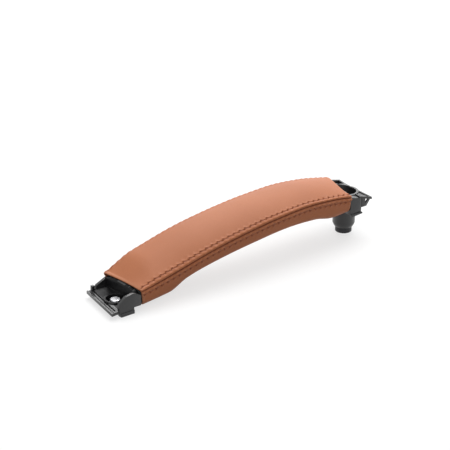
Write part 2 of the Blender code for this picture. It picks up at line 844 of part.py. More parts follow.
def block_ledge(added):
    """Small ledge along the foot of the block's near wall."""
    half = BLOCK_HALF_WIDTH
    end = block_end(-half)
    start = end - LEDGE_LENGTH
    outline = [
        (start, BLOCK_BOTTOM - LEDGE_DROP - LEDGE_FALL),
        (end + LEDGE_OVERHANG, BLOCK_BOTTOM - LEDGE_DROP),
        (end, BLOCK_BOTTOM + LEDGE_RISE),
        (start, BLOCK_BOTTOM + LEDGE_RISE),
    ]
    mesh = side_plate("ledge", outline, -half - LEDGE_PROUD, -half + LEDGE_PROUD)
    place("ledge", mesh, added, helper=True)


def post_and_well(added, cut):
    """Hollow post with a tapered end, and the screw well down through it."""
    profile = [
        (0.0, NECK_TOP),
        (POST_RADIUS, NECK_TOP),
        (POST_RADIUS, POST_SHOULDER_Z),
        (POST_RADIUS - POST_SHOULDER_STEP, POST_SHOULDER_Z - POST_SHOULDER_DROP),
        (POST_END_RADIUS, POST_END_Z),
        (0.0, POST_END_Z),
    ]
    turned("post", profile, (POST_X, POST_Y), added, None, helper=True)
    neck = [
        (0.0, WELL_TOP),
        (WELL_RADIUS + WELL_WALL, WELL_TOP),
        (WELL_RADIUS + WELL_WALL, NECK_TOP),
        (POST_RADIUS, NECK_BOTTOM),
        (0.0, NECK_BOTTOM),
    ]
    turned("well_tube", neck, (POST_X, POST_Y), added, None, helper=True)
    bore = BUSH_BARREL_RADIUS + FIT_GAP
    hollow = [
        (0.0, CUT_TOP),
        (WELL_RADIUS, CUT_TOP),
        (WELL_RADIUS, WELL_STEP_Z + WELL_STEP),
        (WELL_LOW_RADIUS, WELL_STEP_Z),
        (WELL_LOW_RADIUS, WELL_FLOOR),
        (bore, WELL_FLOOR),
        (bore, -CUT_PAST),
        (0.0, -CUT_PAST),
    ]
    turned("well_hollow", hollow, (POST_X, POST_Y), cut, None, helper=True)


def upper_spacer_bush(group, material):
    """Sleeve pressed into the post from below; its collar is the post's foot."""
    collar_top = POST_END_Z - FIT_GAP
    profile = [
        (BUSH_BORE_RADIUS, WELL_FLOOR),
        (BUSH_BARREL_RADIUS, WELL_FLOOR),
        (BUSH_BARREL_RADIUS, collar_top),
        (BUSH_FOOT_RADIUS, collar_top),
        (BUSH_FOOT_RADIUS, BUSH_CHAMFER),
        (BUSH_FOOT_RADIUS - BUSH_CHAMFER, 0.0),
        (BUSH_BORE_RADIUS, 0.0),
        (BUSH_BORE_RADIUS, WELL_FLOOR),
    ]
    return turned("upper_spacer_bush", profile, (POST_X, POST_Y), group, material)


def tip_x(y):
    """X of the flange's outer edge at y."""
    return TIP_X + TIP_SKEW * (y + GRIP_HALF_WIDTH) / (2 * GRIP_HALF_WIDTH)


def flange_top(x, y):
    """Height of the flange's upper face, which falls outwards and to the far side."""
    along = math.tan(FLANGE_SLOPE) * (x - TIP_X)
    return TIP_TOP - along - math.tan(FLANGE_TILT) * (y + GRIP_HALF_WIDTH)


def flange_plate(name, plan, thickness, rise=0.0):
    """Plate on a plan outline whose top follows the flange, or stands above it."""
    shape = bmesh.new()
    corners = [shape.verts.new((x, y, flange_top(x, y) + rise)) for x, y in plan]
    face = shape.faces.new(corners)
    pushed = bmesh.ops.extrude_face_region(shape, geom=[face])["geom"]
    moved = [item for item in pushed if isinstance(item, bmesh.types.BMVert)]
    bmesh.ops.translate(shape, verts=moved, vec=(0, 0, -thickness))
    return mesh_from(name, shape)


def tip_flange(added):
    """Oblique flange past the block, with a ridge along it and a latch under its tip."""
    near_y = -BLOCK_HALF_WIDTH
    far_y = BLOCK_HALF_WIDTH
    tip_y = -GRIP_HALF_WIDTH
    plan = [
        (block_end(near_y) - WALL, near_y),
        (tip_x(tip_y), tip_y),
        (tip_x(far_y), far_y),
        (block_end(far_y) - WALL, far_y),
    ]
    flange = flange_plate("flange", plan, FLANGE_THICKNESS)
    place("flange", flange, added, helper=True)
    outer = FLANGE_RIDGE_SETBACK
    inner = FLANGE_RIDGE_SETBACK + FLANGE_RIDGE_WIDTH
    ridge = [
        (tip_x(near_y) - inner, near_y),
        (tip_x(near_y) - outer, near_y),
        (tip_x(POST_Y) - outer, POST_Y),
        (tip_x(POST_Y) - inner, POST_Y),
    ]
    thick = FLANGE_RIDGE + FLANGE_THICKNESS / 2
    mesh = flange_plate("flange_ridge", ridge, thick, FLANGE_RIDGE)
    place("flange_ridge", mesh, added, helper=True)
    latch_x = block_end(near_y) + END_GAP
    latch_top = flange_top(latch_x + LATCH_LENGTH, near_y + LATCH_WIDTH) - FLANGE_THICKNESS / 2
    latch_high = (latch_x + LATCH_LENGTH, near_y + LATCH_WIDTH, latch_top)
    latch = box("latch", (latch_x, near_y, LATCH_BOTTOM), latch_high)
    place("latch", latch, added, helper=True)
    start = latch_x + LATCH_LENGTH - GUSSET_THICKNESS
    stop = tip_x(near_y) - GUSSET_SETBACK
    under = flange_top(stop, near_y) - FLANGE_THICKNESS
    gusset = [
        (start, LATCH_BOTTOM),
        (start + 2 * GUSSET_THICKNESS, LATCH_BOTTOM),
        (stop, under - GUSSET_SETBACK),
        (stop, under + FLANGE_THICKNESS / 2),
        (stop - GUSSET_THICKNESS, under + FLANGE_THICKNESS / 2),
        (start, LATCH_BOTTOM + GUSSET_THICKNESS),
    ]
    mesh = side_plate("gusset", gusset, near_y, near_y + GUSSET_THICKNESS)
    place("gusset", mesh, added, helper=True)


def rib_pockets(cut):
    """Pockets from below that leave a roof, two walls, a spine and cross ribs."""
    start = GRIP_START + BEAM_WALL
    usable = GRIP_LENGTH - 2 * BEAM_WALL - BEAM_SOLID_END
    count = int(usable / RIB_PITCH)
    half = GRIP_HALF_WIDTH - core_inset() - BEAM_WALL
    for k in range(count):
        low_x = start + usable * k / count + RIB_THICKNESS / 2
        high_x = start + usable * (k + 1) / count - RIB_THICKNESS / 2
        low_z = min(split_height(low_x), split_height(high_x)) - CUT_PAST
        roof = min(section_frame(x, core_inset()).top for x in (low_x, high_x))
        for side, lift in (("near", 0.0), ("far", min(lift_at(low_x, 0.0), lift_at(high_x, 0.0)))):
            near = RIB_THICKNESS / 2 if side == "far" else -half
            far = half if side == "far" else -RIB_THICKNESS / 2
            name = f"pocket_{k}_{side}"
            mesh = box(name, (low_x, near, low_z), (high_x, far, roof + lift - BEAM_ROOF))
            place(name, mesh, cut, helper=True)


def core_carrier(group, added, cut, material):
    """The one moulding that carries everything: tray, ribbed beam, block and post."""
    start = tray_back() - BEAM_OVERLAP
    end = GRIP_END + BEAM_OVERLAP
    grid = lofted_grid(beam_outline, core_inset(), start, end)
    core = place("core_carrier", solid_loft("core_carrier", grid), group, material)
    tray_walls(added)
    tray_feet(added)
    tray_floor(added)
    tray_lip(added, cut)
    screw_recess(added, cut)
    end_block(added, cut)
    block_ledge(added)
    post_and_well(added, cut)
    tip_flange(added)
    rib_pockets(cut)
    combine(core, added, "UNION")
    combine(core, cut, "DIFFERENCE")
    return core


def handle_middle():
    """Middle of the handle along X, between the lip and the far end of the flange."""
    return (LIP_NEAR_X + tip_x(BLOCK_HALF_WIDTH)) / 2


def build_handle():
    clear_scene()
    handle = new_collection("car_door_pull_handle")
    added = new_collection("carrier_shapes")
    cut = new_collection("carrier_cutters")
    foam_cut = new_collection("foam_cutters")
    plastic = new_material("black_nylon", (0.018, 0.018, 0.019), 0.5)
    shell_plastic = new_material("grey_nylon", (0.05, 0.05, 0.052), 0.55)
    foam_black = new_material("black_foam", (0.03, 0.03, 0.03), 0.95)
    leather = new_material("tan_leather", (0.52, 0.21, 0.12), 0.55)
    thread = new_material("tan_thread", (0.40, 0.14, 0.07), 0.7)
    zinc = new_material("bright_zinc", (0.75, 0.76, 0.78), 0.3, 1.0)
    steel = new_material("black_steel", (0.05, 0.05, 0.055), 0.45, 1.0)

    pieces = [
        core_carrier(handle, added, cut, plastic),
        underside_shell(handle, shell_plastic),
        foam_wrap(handle, foam_cut, foam_black),
        leather_panel("leather_top_panel", top_outline, 1, handle, leather),
        leather_panel("leather_underside_panel", under_outline, -1, handle, leather),
        lower_insert_nut(handle, zinc),
        upper_spacer_bush(handle, steel),
    ]
    for side, side_name in ((-1, "near"), (1, "far")):
        for upper, row_name in ((True, "upper"), (False, "lower")):
            name = f"thread_{side_name}_{row_name}"
            pieces.append(stitch_row(name, side, upper, handle, thread))

    root = bpy.data.objects.new("car_door_pull_handle", None)
    handle.objects.link(root)
    root.location = (-handle_middle(), 0, 0)
    for obj in pieces + list(added.objects) + list(cut.objects) + list(foam_cut.objects):
        obj.parent = root


build_handle()
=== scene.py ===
import math

import bmesh
import bpy
import numpy as np
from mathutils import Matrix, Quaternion, Vector


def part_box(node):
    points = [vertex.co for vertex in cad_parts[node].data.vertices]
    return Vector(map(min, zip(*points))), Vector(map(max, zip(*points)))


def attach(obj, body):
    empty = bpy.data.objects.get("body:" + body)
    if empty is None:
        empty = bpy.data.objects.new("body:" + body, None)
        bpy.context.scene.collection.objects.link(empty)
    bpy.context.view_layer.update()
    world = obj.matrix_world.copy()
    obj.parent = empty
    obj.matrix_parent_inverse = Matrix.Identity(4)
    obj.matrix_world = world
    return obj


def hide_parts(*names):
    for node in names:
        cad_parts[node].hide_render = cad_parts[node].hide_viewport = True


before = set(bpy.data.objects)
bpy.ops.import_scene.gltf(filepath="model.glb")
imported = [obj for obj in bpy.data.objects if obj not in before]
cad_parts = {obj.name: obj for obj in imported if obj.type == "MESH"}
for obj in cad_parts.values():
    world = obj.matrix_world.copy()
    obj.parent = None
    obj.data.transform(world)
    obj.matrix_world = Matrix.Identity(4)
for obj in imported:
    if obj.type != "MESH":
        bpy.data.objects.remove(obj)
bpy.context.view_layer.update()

scene = bpy.context.scene
scene.view_settings.view_transform = "Standard"

# Camera
# A long lens from the near left and above, as in the catalogue photograph. The aim
# point is given from the middle of the handle, and the place by two angles.
lens_mm = 136.34
camera_distance = 1.300
view_azimuth = math.radians(-39.47)
view_elevation = math.radians(22.53)
view_roll = math.radians(0.37)
aim_point = Vector((-0.0016, 0.0110, 0.0294))
away = Vector((
    math.sin(view_azimuth) * math.cos(view_elevation),
    -math.cos(view_azimuth) * math.cos(view_elevation),
    math.sin(view_elevation),
))
camera = bpy.data.objects.new("catalogue_camera", bpy.data.cameras.new("catalogue_camera"))
camera.data.lens = lens_mm
camera.data.sensor_width = 36
camera.data.clip_start = 0.05
camera.data.clip_end = 30
camera.location = aim_point + away * camera_distance
camera.rotation_mode = "QUATERNION"
camera.rotation_quaternion = (-away).to_track_quat("-Z", "Y") @ Quaternion((0, 0, 1), view_roll)
scene.collection.objects.link(camera)
scene.camera = camera

# Studio floor and light
# The handle stands on a wide flat white floor. A soft box hangs above and behind it, a
# card behind gives the flat faces their sheen, a weaker box stands at the camera's left,
# and the pale room fills the shadows.
floor_half = 6.0
floor_albedo = 0.36
floor_lift = 0.68
room_fill = 0.36
floor_mesh = bpy.data.meshes.new("studio_floor")
floor_shape = bmesh.new()
bmesh.ops.create_grid(floor_shape, x_segments=2, y_segments=2, size=floor_half)
floor_shape.to_mesh(floor_mesh)
floor_shape.free()
floor = bpy.data.objects.new("studio_floor", floor_mesh)
scene.collection.objects.link(floor)


def seen_directly(nodes, links):
    """Socket that is 1 for a look at the background, straight or in a reflection."""
    path = nodes.new("ShaderNodeLightPath")
    mirrored = nodes.new("ShaderNodeMath")
    mirrored.operation = "MAXIMUM"
    links.new(path.outputs["Is Glossy Ray"], mirrored.inputs[0])
    links.new(path.outputs["Is Transmission Ray"], mirrored.inputs[1])
    seen = nodes.new("ShaderNodeMath")
    seen.operation = "MAXIMUM"
    links.new(path.outputs["Is Camera Ray"], seen.inputs[0])
    links.new(mirrored.outputs[0], seen.inputs[1])
    return seen.outputs[0]


floor_paper = bpy.data.materials.new("white_paper")
floor_paper.use_nodes = True
nodes = floor_paper.node_tree.nodes
links = floor_paper.node_tree.links
nodes.clear()
paper = nodes.new("ShaderNodeBsdfDiffuse")
paper.inputs["Color"].default_value = (floor_albedo, floor_albedo, floor_albedo, 1)
glow = nodes.new("ShaderNodeEmission")
strength = nodes.new("ShaderNodeMath")
strength.operation = "MULTIPLY"
strength.inputs[1].default_value = floor_lift
both = nodes.new("ShaderNodeAddShader")
surface = nodes.new("ShaderNodeOutputMaterial")
links.new(seen_directly(nodes, links), strength.inputs[0])
links.new(strength.outputs[0], glow.inputs["Strength"])
links.new(paper.outputs[0], both.inputs[0])
links.new(glow.outputs[0], both.inputs[1])
links.new(both.outputs[0], surface.inputs["Surface"])
floor_mesh.materials.append(floor_paper)

room = bpy.data.worlds.new("pale_room")
room.use_nodes = True
nodes = room.node_tree.nodes
links = room.node_tree.links
nodes.clear()
fill_light = nodes.new("ShaderNodeBackground")
fill_light.inputs["Color"].default_value = (1, 1, 1, 1)
fill_light.inputs["Strength"].default_value = room_fill
white_back = nodes.new("ShaderNodeBackground")
white_back.inputs["Color"].default_value = (1, 1, 1, 1)
white_back.inputs["Strength"].default_value = 1.0
pick = nodes.new("ShaderNodeMixShader")
sky = nodes.new("ShaderNodeOutputWorld")
links.new(seen_directly(nodes, links), pick.inputs["Fac"])
links.new(fill_light.outputs[0], pick.inputs[1])
links.new(white_back.outputs[0], pick.inputs[2])
links.new(pick.outputs[0], sky.inputs["Surface"])
scene.world = room


def soft_box(name, place, size, watts):
    """Rectangular soft box at a place, turned to the middle of the handle."""
    lamp = bpy.data.lights.new(name, "AREA")
    lamp.shape = "RECTANGLE"
    lamp.size, lamp.size_y = size
    lamp.energy = watts
    box = bpy.data.objects.new(name, lamp)
    box.location = place
    box.rotation_mode = "QUATERNION"
    box.rotation_quaternion = (-Vector(place)).to_track_quat("-Z", "Y")
    scene.collection.objects.link(box)


soft_box("overhead_box", (0.65, 0.50, 1.40), (1.6, 1.2), 25)
soft_box("back_card", (1.30, 1.55, 0.85), (1.2, 0.8), 6.0)
soft_box("left_box", (-1.50, -0.90, 0.90), (0.9, 0.9), 3.0)


# Leather grip
# Two panels of smooth tan leather, glued round the padded core and sewn together by a
# flat seam along each shoulder. Their edges are turned in at the seam, and a row of
# stitches on each side pulls the leather down into small puckers.
grip_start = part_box("leather_top_panel")[0].x
grip_length = 0.2055
grip_half = 0.022
shoulder_width = 0.0038
crown_rise = 0.0035
belly_radius = 0.0085
belly_share = 0.45
side_draft = 0.0015
end_skew = 0.0145
ear_width = 0.0075
skew_power = 1.25
fan_power = 6
low_skew = 0.0028
low_rake = 0.0032
low_power = 10
leather_thickness = 0.0012
seam_gap = 0.0005
seam_line = (
    (0.0, 0.0148),
    (0.04, 0.0162),
    (0.08, 0.0179),
    (0.153, 0.0212),
    (0.324, 0.0292),
    (0.494, 0.0350),
    (0.640, 0.0386),
    (0.786, 0.0405),
    (0.908, 0.0393),
    (1.078, 0.0340),
)
shoulder_line = (
    (0.0, 0.0016),
    (0.08, 0.0035),
    (0.52, 0.0035),
    (0.80, 0.0027),
    (0.93, 0.0022),
    (1.078, 0.0024),
)
crown_line = (
    (0.0, 0.0006),
    (0.06, 0.0018),
    (0.15, 0.0030),
    (0.25, 0.0035),
    (0.84, 0.0035),
    (0.94, 0.0024),
    (1.0, 0.0007),
)
lift_line = (
    (0.0, 0.0004),
    (0.05, 0.0031),
    (0.105, 0.0055),
    (0.251, 0.0062),
    (0.445, 0.0055),
    (0.640, 0.0044),
    (0.835, 0.0035),
    (1.078, 0.0021),
)
belly_line = (
    (0.0, 0.0010),
    (0.134, 0.0027),
    (0.212, 0.0105),
    (0.299, 0.0148),
    (0.504, 0.0210),
    (0.723, 0.0249),
    (0.835, 0.0241),
    (0.922, 0.0208),
    (0.985, 0.0223),
    (1.078, 0.0242),
)


def height_on(line, share):
    """Heights of the smooth curve through a line's points, at shares of the grip's length."""
    places, heights = (np.array(column) for column in zip(*line))
    widths = np.diff(places)
    spans = np.diff(heights) / widths
    slopes = [spans[0]]
    for before, after in zip(spans, spans[1:]):
        slopes.append(2 * before * after / (before + after) if before * after > 0 else 0.0)
    slopes = np.array([*slopes, spans[-1]])
    share = np.asarray(share, dtype=float)
    i = np.clip(np.searchsorted(places, share, side="right") - 1, 0, len(spans) - 1)
    t = np.clip((share - places[i]) / widths[i], 0.0, 1.0)
    start = heights[i] * (1 + 2 * t) * (1 - t) ** 2 + slopes[i] * widths[i] * t * (1 - t) ** 2
    end = heights[i + 1] * t * t * (3 - 2 * t) + slopes[i + 1] * widths[i] * t * t * (t - 1)
    return start + end


def lift_at(share, y):
    """The section is rolled a little, so that its far side lies higher."""
    return height_on(lift_line, share) * (y + grip_half) / (2 * grip_half)


def skew_at(y):
    """How far the cut at the high end lies past the ear at the near seam."""
    start = ear_width - grip_half
    return end_skew * np.clip((y - start) / (grip_half - start), 0.0, None) ** skew_power


shoulder_steps = 26
crown_steps = 30
shoulder_turn = np.linspace(0.0, math.pi / 2, shoulder_steps)
shoulder_y = -grip_half + shoulder_width * (1 - np.cos(shoulder_turn))
flat_half = grip_half - shoulder_width
crown_y = np.linspace(-flat_half, flat_half, crown_steps + 1)[1:-1]
top_y = np.concatenate([shoulder_y, crown_y, -shoulder_y[::-1]])
top_sine = np.concatenate([np.sin(shoulder_turn), np.ones(len(crown_y)), np.sin(shoulder_turn)[::-1]])


def bulge_at(y):
    """Share of the crown's rise at y: full in the middle, none at the shoulders."""
    return np.clip(1 - (y / flat_half) ** 2, 0.0, None)


def top_section(share, nominal):
    """Y, height and share of the skew for the upper panel, near seam to far seam."""
    seam = height_on(seam_line, share)
    crown = height_on(crown_line, nominal) * bulge_at(top_y)
    z = seam + height_on(shoulder_line, share) * top_sine + crown
    y = top_y + 0 * z
    return y, z + lift_at(share, y), np.ones_like(z)


side_steps = 30
side_step_growth = 1.4
belly_steps = 12
floor_steps = 8
side_fall = np.linspace(0.0, 1.0, side_steps) ** side_step_growth
belly_turn = np.linspace(0.0, math.pi / 2, belly_steps + 1)[1:]
floor_part = np.linspace(-1.0, 1.0, floor_steps + 1)[1:-1]
near_fall = np.concatenate([side_fall, np.ones(belly_steps)])
near_turn = np.concatenate([np.zeros(side_steps), belly_turn])
under_fall = np.concatenate([near_fall, np.ones(len(floor_part)), near_fall[::-1]])
under_turn = np.concatenate([near_turn, np.full(len(floor_part), math.pi / 2), near_turn[::-1]])
under_part = np.concatenate([-np.ones(len(near_fall)), floor_part, np.ones(len(near_fall))])


def under_section(share, nominal):
    """Y, height and share of the skew for the lower panel, near seam to far seam."""
    seam = height_on(seam_line, share)
    bottom = height_on(belly_line, share)
    belly = np.minimum(belly_radius, (seam - bottom) * belly_share)
    corner = bottom + belly
    y = under_part * (grip_half - side_draft * under_fall - belly * (1 - np.cos(under_turn)))
    z = seam - (seam - corner) * under_fall - belly * np.sin(under_turn)
    skewed = np.clip((z - bottom) / (seam - bottom), 0.0, 1.0)
    return y, z + lift_at(share, y), skewed


stitch_pitch = 0.0053
stitch_margin = 0.0022
stitch_turn = math.radians(68)
far_stitch_turn = math.radians(44)
stitch_drop = 0.0036
stitch_slant = 0.0012
groove_width = 0.00055
groove_depth = 0.00095
# Width of the painted shade laid along the seam's groove.
groove_shade_width = 0.00042
upper_roll_share = 0.42
upper_roll_height = 0.00060
lower_roll_place = 0.0015
lower_roll_height = 0.00115
roll_width = 0.0009
notch_width = 0.00052
notch_depth = 0.00095
hole_phase = 0.12
hole_width = 0.22
crest_phase = 0.55
roll_swell = 0.30
upper_pull_between = 0.50
lower_pull_between = 0.25
pucker_hollow = 0.35
pucker_reach = 0.0012
pucker_width = 0.0009
pucker_height = 0.00050
panel_stations = 420
end_roll = 0.0007
end_drop = 0.0006
pale_place = 0.0009
pale_width = 0.0007
pale_margin = 0.001


def bell(value, middle, width):
    """Smooth bump of height 1 round a middle."""
    return np.exp(-(((value - middle) / width) ** 2))


def upper_row(share, far):
    """Distance of the upper stitches from the seam, round the near or the far shoulder."""
    rise = height_on(shoulder_line, share)
    return np.where(far, far_stitch_turn, stitch_turn) * np.sqrt((shoulder_width**2 + rise**2) / 2)


def sewn_relief(distance, far, share, upper):
    """How the sewing shapes the leather beside a seam: its height, and where painted shade darkens its
    groove and stitch notches.
    """
    stitches = (share * grip_length - stitch_margin) / stitch_pitch
    phase = stitches - np.floor(stitches)
    row = upper_row(share, far) if upper else stitch_drop
    line = row + stitch_slant * (0.5 - phase)
    roll_place = upper_roll_share * row if upper else lower_roll_place
    roll_height = upper_roll_height if upper else lower_roll_height
    hole = bell(phase, hole_phase, hole_width) + bell(phase, 1 + hole_phase, hole_width)
    wave = 1 - roll_swell + roll_swell * np.cos(2 * math.pi * (phase - crest_phase))
    between = upper_pull_between if upper else lower_pull_between
    notch = bell(distance, line, notch_width) * (between + (1 - between) * hole)
    roll = bell(distance, roll_place, roll_width) * wave
    pucker = bell(distance, row + pucker_reach, pucker_width) * (hole - pucker_hollow)
    height = roll_height * roll - groove_depth * bell(distance, 0.0, groove_width)
    height = height - notch_depth * notch + pucker_height * pucker
    seam_shade = np.maximum(bell(distance, 0.0, groove_shade_width), notch)
    return height, np.clip(seam_shade, 0.0, 1.0)


def grip_panel(name, section, upper):
    """Skin of one panel: fine stations along the grip, with the relief beside both seams."""
    nominal = np.linspace(0.0, 1.0, panel_stations + 1)[:, None]
    y, z, skewed = section(nominal, nominal)
    forward = skewed * low_skew * (y + grip_half) / (2 * grip_half) - (1 - skewed) * low_rake
    low = (1 - nominal) ** low_power * forward
    share = nominal + (skewed * nominal**fan_power * skew_at(y) - low) / grip_length
    y, z, skewed = section(share, nominal)
    flat = np.stack([y, z], axis=2)
    steps = np.linalg.norm(np.diff(flat, axis=1), axis=2)
    arc = np.concatenate([np.zeros((len(flat), 1)), np.cumsum(steps, axis=1)], axis=1)
    distance = np.minimum(arc, arc[:, -1:] - arc)
    tangent = np.gradient(flat, axis=1)
    normal = np.stack([-tangent[:, :, 1], tangent[:, :, 0]], axis=2)
    normal /= np.linalg.norm(normal, axis=2, keepdims=True)
    if not upper:
        normal = -normal
    relief, seam_shade = sewn_relief(distance, arc > arc[:, -1:] / 2, share, upper)
    to_end = np.minimum(nominal, 1.0 - nominal) * grip_length
    relief = relief - end_drop * bell(to_end, 0.0, end_roll)
    outer = flat + normal * relief[:, :, None]
    inner = flat - normal * leather_thickness
    drop = seam_gap / 2 if upper else -seam_gap / 2
    for grid in (outer, inner):
        grid[:, 0, 1] += drop
        grid[:, -1, 1] += drop
    x = (grip_start + share * grip_length)[:, :, None]
    pale = bell(to_end, pale_place, pale_width) * (distance > pale_margin)
    return skin(name, np.dstack([x, outer]), np.dstack([x, inner]), seam_shade, pale)


cut_edge_angle = math.radians(50)
# The hidden lining carries a fixed share of the painted seam shade.
lining_shade = 0.4


def skin(name, outer, inner, seam_shade, pale):
    """Closed skin between two grids, with its painted seam shade and pale ends kept as attributes."""
    count, width = outer.shape[:2]
    half = count * width
    verts = np.concatenate([outer.reshape(-1, 3), inner.reshape(-1, 3)])
    index = np.arange(half).reshape(count, width)
    a, b, c, d = index[:-1, :-1], index[:-1, 1:], index[1:, 1:], index[1:, :-1]
    sheets = [np.stack([a, b, c, d], axis=2), np.stack([a, d, c, b], axis=2) + half]
    rims = []
    for line in (index[:, 0], index[:, -1], index[0], index[-1]):
        rims.append(np.stack([line[:-1], line[1:], line[1:] + half, line[:-1] + half], axis=1))
    faces = np.concatenate([part.reshape(-1, 4) for part in sheets + rims])
    mesh = bpy.data.meshes.new(name)
    mesh.from_pydata(verts.tolist(), [], faces.tolist())
    shape = bmesh.new()
    shape.from_mesh(mesh)
    bmesh.ops.recalc_face_normals(shape, faces=shape.faces)
    shape.to_mesh(mesh)
    shape.free()
    mesh.shade_smooth()
    mesh.set_sharp_from_angle(angle=cut_edge_angle)
    for label, values, lining in (("seam_shade", seam_shade, lining_shade), ("pale_end", pale, 0.0)):
        on_both = np.concatenate([values.reshape(-1), np.full(half, lining)])
        kept = mesh.attributes.new(label, "FLOAT", "POINT")
        kept.data.foreach_set("value", on_both.astype(np.float32))
    piece = bpy.data.objects.new(name, mesh)
    scene.collection.objects.link(piece)
    return piece


leather = bpy.data.materials.new("tan_leather")
leather.use_nodes = True
nodes = leather.node_tree.nodes
links = leather.node_tree.links
skin_shader = nodes["Principled BSDF"]
place = nodes.new("ShaderNodeTexCoord")
grain = nodes.new("ShaderNodeTexVoronoi")
grain.feature = "DISTANCE_TO_EDGE"
grain.inputs["Scale"].default_value = 1500
fine = nodes.new("ShaderNodeTexNoise")
fine.inputs["Scale"].default_value = 900
fine.inputs["Detail"].default_value = 4
cloud = nodes.new("ShaderNodeTexNoise")
cloud.inputs["Scale"].default_value = 22
cloud.inputs["Detail"].default_value = 3
for texture in (grain, fine, cloud):
    links.new(place.outputs["Object"], texture.inputs["Vector"])
tone = nodes.new("ShaderNodeValToRGB")
tone.color_ramp.elements[0].position = 0.30
tone.color_ramp.elements[0].color = (0.490, 0.166, 0.070, 1)
tone.color_ramp.elements[1].position = 0.72
tone.color_ramp.elements[1].color = (0.555, 0.196, 0.087, 1)
links.new(cloud.outputs["Fac"], tone.inputs["Fac"])
pores = nodes.new("ShaderNodeMapRange")
pores.inputs["From Max"].default_value = 0.12
pores.inputs["To Min"].default_value = 0.90
links.new(grain.outputs["Distance"], pores.inputs["Value"])
speckle = nodes.new("ShaderNodeMix")
speckle.data_type = "RGBA"
speckle.blend_type = "MULTIPLY"
speckle.inputs["Factor"].default_value = 1.0
links.new(tone.outputs["Color"], speckle.inputs[6])
links.new(pores.outputs["Result"], speckle.inputs[7])


def mixed_by_attribute(colour_from, attribute, amount, colour):
    """Mixes a colour in where an attribute of the skin is high, by an amount."""
    mask = nodes.new("ShaderNodeAttribute")
    mask.attribute_name = attribute
    share = nodes.new("ShaderNodeMath")
    share.operation = "MULTIPLY"
    share.inputs[1].default_value = amount
    mix = nodes.new("ShaderNodeMix")
    mix.data_type = "RGBA"
    mix.inputs[7].default_value = colour
    links.new(mask.outputs["Fac"], share.inputs[0])
    links.new(share.outputs[0], mix.inputs["Factor"])
    links.new(colour_from, mix.inputs[6])
    return mix.outputs[2]


# Painted shade: the seam's groove and the stitch notches are mixed towards dark brown, standing in for
# the shade that falls in them.
seam_shade_brown = (0.110, 0.016, 0.004, 1)
seam_shade_amount = 0.92
pale_tan = (0.700, 0.330, 0.200, 1)
pale_amount = 0.45
seam_shaded = mixed_by_attribute(speckle.outputs[2], "seam_shade", seam_shade_amount, seam_shade_brown)
paled = mixed_by_attribute(seam_shaded, "pale_end", pale_amount, pale_tan)
links.new(paled, skin_shader.inputs["Base Color"])
sheen_map = nodes.new("ShaderNodeMapRange")
sheen_map.inputs["To Min"].default_value = 0.46
sheen_map.inputs["To Max"].default_value = 0.60
links.new(fine.outputs["Fac"], sheen_map.inputs["Value"])
links.new(sheen_map.outputs["Result"], skin_shader.inputs["Roughness"])
raise_grain = nodes.new("ShaderNodeBump")
raise_grain.inputs["Strength"].default_value = 0.5
raise_grain.inputs["Distance"].default_value = 0.00006
links.new(grain.outputs["Distance"], raise_grain.inputs["Height"])
raise_fine = nodes.new("ShaderNodeBump")
raise_fine.inputs["Strength"].default_value = 0.35
raise_fine.inputs["Distance"].default_value = 0.00005
links.new(fine.outputs["Fac"], raise_fine.inputs["Height"])
links.new(raise_grain.outputs["Normal"], raise_fine.inputs["Normal"])
links.new(raise_fine.outputs["Normal"], skin_shader.inputs["Normal"])
skin_shader.inputs["Specular IOR Level"].default_value = 0.24

for name, section, upper, node in (
    ("leather_top", top_section, True, "leather_top_panel"),
    ("leather_underside", under_section, False, "leather_underside_panel"),
):
    piece = grip_panel(name, section, upper)
    piece.data.materials.append(leather)
    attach(piece, "root")
    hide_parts(node)


# Stitches
# Bonded polyester thread in a tan close to the leather's. Each stitch is a short bowed
# length that lies along its row at a slight slant; its ends go down into the leather.
thread = bpy.data.materials.new("tan_thread")
thread.use_nodes = True
nodes = thread.node_tree.nodes
links = thread.node_tree.links
thread_shader = nodes["Principled BSDF"]
place = nodes.new("ShaderNodeTexCoord")
ply = nodes.new("ShaderNodeTexWave")
ply.bands_direction = "DIAGONAL"
ply.inputs["Scale"].default_value = 900
ply_tone = nodes.new("ShaderNodeValToRGB")
ply_tone.color_ramp.elements[0].color = (0.250, 0.070, 0.030, 1)
ply_tone.color_ramp.elements[1].color = (0.420, 0.140, 0.070, 1)
ply_bump = nodes.new("ShaderNodeBump")
ply_bump.inputs["Strength"].default_value = 0.6
ply_bump.inputs["Distance"].default_value = 0.00008
links.new(place.outputs["Object"], ply.inputs["Vector"])
links.new(ply.outputs["Fac"], ply_tone.inputs["Fac"])
links.new(ply_tone.outputs["Color"], thread_shader.inputs["Base Color"])
links.new(ply.outputs["Fac"], ply_bump.inputs["Height"])
links.new(ply_bump.outputs["Normal"], thread_shader.inputs["Normal"])
thread_shader.inputs["Roughness"].default_value = 0.62

stitch_tree = bpy.data.node_groups.new("stitch_along_row", "GeometryNodeTree")
face = stitch_tree.interface
face.new_socket("Row", in_out="INPUT", socket_type="NodeSocketGeometry")
for name, value in (
    ("Stitches", 38),
    ("Stitch Length", 0.0040),
    ("Thread Radius", 0.00030),
    ("Bow", 0.00030),
    ("Dip", 0.00045),
    ("Slant", 0.20),
):
    kind = "NodeSocketInt" if name == "Stitches" else "NodeSocketFloat"
    socket = face.new_socket(name, in_out="INPUT", socket_type=kind)
    socket.default_value = value
face.new_socket("Thread", in_out="INPUT", socket_type="NodeSocketMaterial")
face.new_socket("Sewing", in_out="OUTPUT", socket_type="NodeSocketGeometry")
gn = stitch_tree.nodes
gl = stitch_tree.links
given = gn.new("NodeGroupInput")
made = gn.new("NodeGroupOutput")
to_curve = gn.new("GeometryNodeMeshToCurve")
spaced = gn.new("GeometryNodeResampleCurve")
spaced.mode = "COUNT"
